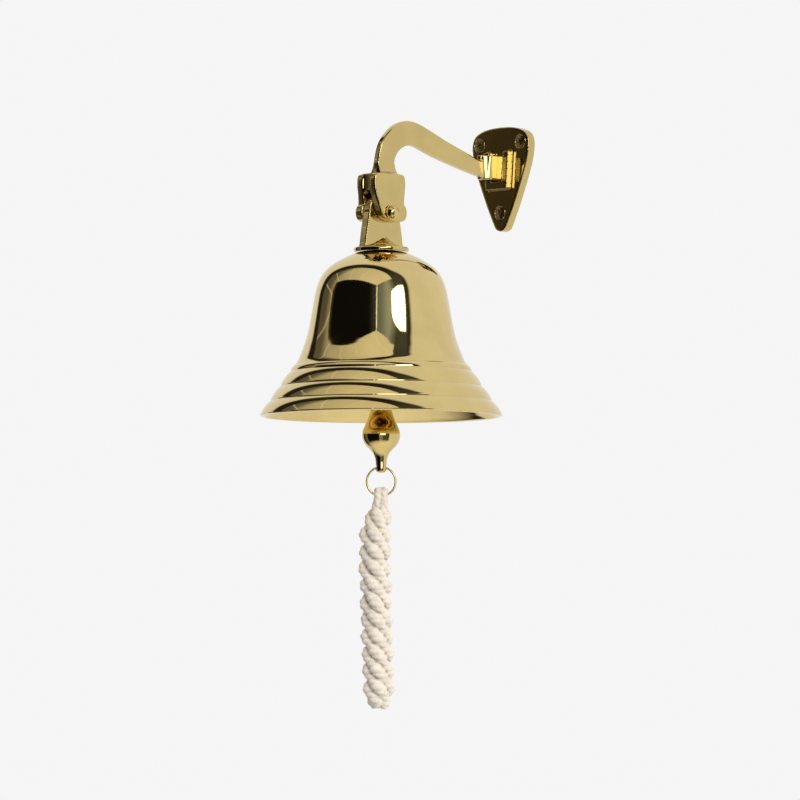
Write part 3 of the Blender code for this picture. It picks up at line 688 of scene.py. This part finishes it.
def tube(path, radius, sides=12):
    """A closed tube of one or several radii along a path in metres."""
    path = np.array(path, float)
    radii = np.broadcast_to(np.asarray(radius, float), (len(path),))
    ahead = np.gradient(path, axis=0)
    ahead /= np.linalg.norm(ahead, axis=1)[:, None]
    side = np.cross(ahead[0], (0.31, 0.86, 0.42))
    verts = []
    for place, way, size in zip(path, ahead, radii):
        side = side - way * side.dot(way)
        side /= np.linalg.norm(side)
        other = np.cross(way, side)
        for k in range(sides):
            turn = 2 * math.pi * k / sides
            verts.append(place + size * (math.cos(turn) * side + math.sin(turn) * other))
    faces = [tuple(range(sides))[::-1], tuple(range((len(path) - 1) * sides, len(path) * sides))]
    for row in range(len(path) - 1):
        for k in range(sides):
            n = (k + 1) % sides
            faces.append((row * sides + k, row * sides + n, (row + 1) * sides + n, (row + 1) * sides + k))
    return verts, faces


def tubes(rows):
    """One mesh of several tubes."""
    verts, faces = [], []
    for some_verts, some_faces in rows:
        start = len(verts)
        verts += some_verts
        faces += [tuple(corner + start for corner in face) for face in some_faces]
    mesh = bpy.data.meshes.new("tubes")
    mesh.from_pydata([tuple(v) for v in verts], [], faces)
    return mesh


def make_clapper():
    ball = [tuple(p) for p in eased(smooth_line(BALL, 6), 3)]
    ball = lathe([(BALL_BORE, 8.0)] + ball + [(0.0, -3.3), (BALL_BORE, -3.3)], UPRIGHT, 128, ring=True)
    hole = lathe([(0.0, 12.0), (1.75, 12.0), (1.75, -12.0), (0.0, -12.0)],
                 Matrix.Translation(at(TAIL_HOLE_Z)) @ WIRE_WAY @ ALONG_X, 32)
    new_piece("clapper_ball", carved(ball, hole), sharp=35.0)
    for node in ("clapper_eye", "clapper_link", "clapper_rod", "crown_washer"):
        new_piece(node, cast([cad_mesh(node)], 0.22, rounds=4), sharp=0)


def make_split_ring():
    """Two turns of round wire side by side, with a short cross-over at the top left."""
    turns, path = 2.0, []
    for step in range(241):
        share = step / 240
        angle = math.radians(115.0) + turns * 2 * math.pi * share
        shift = RING_APART * math.tanh((share - 0.5) * 22.0)
        path.append((RING_RADIUS * math.cos(angle), shift, RING_RADIUS * math.sin(angle)))
    place = Matrix.Translation(at(TAIL_HOLE_Z - RING_RADIUS)) @ WIRE_WAY
    path = [tuple(place @ (Vector(p) * MM)) for p in path]
    new_piece("lanyard_ring", tubes([tube(path, RING_WIRE * MM, 16)]), sharp=0)


# ---------------------------------------------------------------- lanyard

LAYER = 10.5                       # height of one layer of the four-strand sennit
SENNIT_TOP, SENNIT_END = -57.5, -177.9
WIRE_Z = TAIL_HOLE_Z - 2 * RING_RADIUS
PLY_LAY = 13.0                     # length of one turn of the three plies in a strand
PLY_RADIUS, PLY_OFFSET, CORE_RADIUS = 2.25, 1.65, 4.8
STEP = 0.6                         # spacing of the points along a strand
# Height above the mouth and the rope's sideways bend there
BEND = [(-182.0, -1.2), (-150.0, -2.0), (-115.0, -3.2), (-86.0, -4.0), (-72.0, -3.5), (-61.0, -1.7),
        (-53.0, -0.3), (-45.0, 0.0)]


def bend_at(height):
    return np.interp(height, [z for z, _ in BEND], [shift for _, shift in BEND])


def strand_path(corner):
    """One of the four strands, from the top of the loop round the ring's wire to the rope's end."""
    along = 1.75 if corner in (0, 3) else -1.75
    out = 1.0 if corner in (0, 1) else -1.0
    start = math.radians(45.0 + 90.0 * corner)
    points = [(along, 0.0, WIRE_Z + 3.5), (along, out * 2.1, WIRE_Z + 2.6), (along, out * 3.2, WIRE_Z - 0.5),
              (along * 1.02, out * 3.2, WIRE_Z - 4.5)]
    layers = (SENNIT_TOP - SENNIT_END) / LAYER
    count = int(layers * 10)
    for step in range(count + 1):
        s = layers * step / count
        turn = start - math.radians(90.0) * s + 0.07 * math.sin(3.1 * s + corner)
        reach = 5.3 - 1.25 * math.cos(2 * math.pi * s) + 0.3 * math.sin(1.7 * s + 2.0 * corner)
        low = layers - s
        if low < 0.5:
            reach *= 0.3 + 0.7 * math.sin(math.pi / 2 * low / 0.5)
        ease = min(1.0, 0.60 + 0.40 * s / 1.5)
        height = SENNIT_TOP - LAYER * s + 0.5 * math.sin(2.3 * s + 1.4 * corner)
        points.append((reach * ease * math.cos(turn), reach * ease * math.sin(turn), height))
    line = smooth_line(points, 3)
    far = np.concatenate([[0.0], np.cumsum(np.linalg.norm(np.diff(line, axis=0), axis=1))])
    even = np.arange(0.0, far[-1], STEP)
    line = np.stack([np.interp(even, far, line[:, k]) for k in range(3)], axis=1)
    line[:, 0] += bend_at(line[:, 2])
    return line


def make_lanyard():
    place = np.array(Matrix.Translation(at(0.0)) @ WIRE_WAY @ Matrix.Diagonal((1.0, -1.0, 1.0, 1.0)))

    def placed(line):
        return np.asarray(line) @ place[:3, :3].T * MM + place[:3, 3]

    rows = []
    for corner in range(4):
        path = eased(strand_path(corner), 3)
        ahead = np.gradient(path, axis=0)
        ahead /= np.linalg.norm(ahead, axis=1)[:, None]
        side = np.cross(ahead, (0.2, 0.1, 1.0))
        side /= np.linalg.norm(side, axis=1)[:, None]
        other = np.cross(ahead, side)
        travel = np.arange(len(path)) * STEP
        full = 0.66 + 0.34 * np.clip((travel - 5.0) / 15.0, 0.0, 1.0)
        for ply in range(3):
            turn = 2 * math.pi * (travel / PLY_LAY + ply / 3) + corner
            around = np.cos(turn)[:, None] * side + np.sin(turn)[:, None] * other
            offset = PLY_OFFSET * full[:, None] * around
            rows.append(tube(placed(path + offset), PLY_RADIUS * full * MM, 10))
    heights = np.linspace(SENNIT_TOP - 1.0, SENNIT_END + 1.0, 60)
    rows.append(tube(placed([(bend_at(z), 0.0, z) for z in heights]), CORE_RADIUS * MM, 24))
    mesh = cast([tubes(rows)], 0.36, rounds=3)
    obj = new_piece("lanyard", mesh, sharp=0, more=("lanyard_becket",))
    heights = np.linspace(WIRE_Z + 3.5, SENNIT_END - 3.7, 40)


make_bell()
make_lanyard()
make_arm()
make_plate()
make_screws()
make_pivot()
make_hanger()
make_clapper()
make_split_ring()


for node_name, node in frame["nodes"].items():
    if not node.hide_render:
        node.data.materials.clear()
        node.data.materials.append(MATERIALS[SLOTS[node_name]])
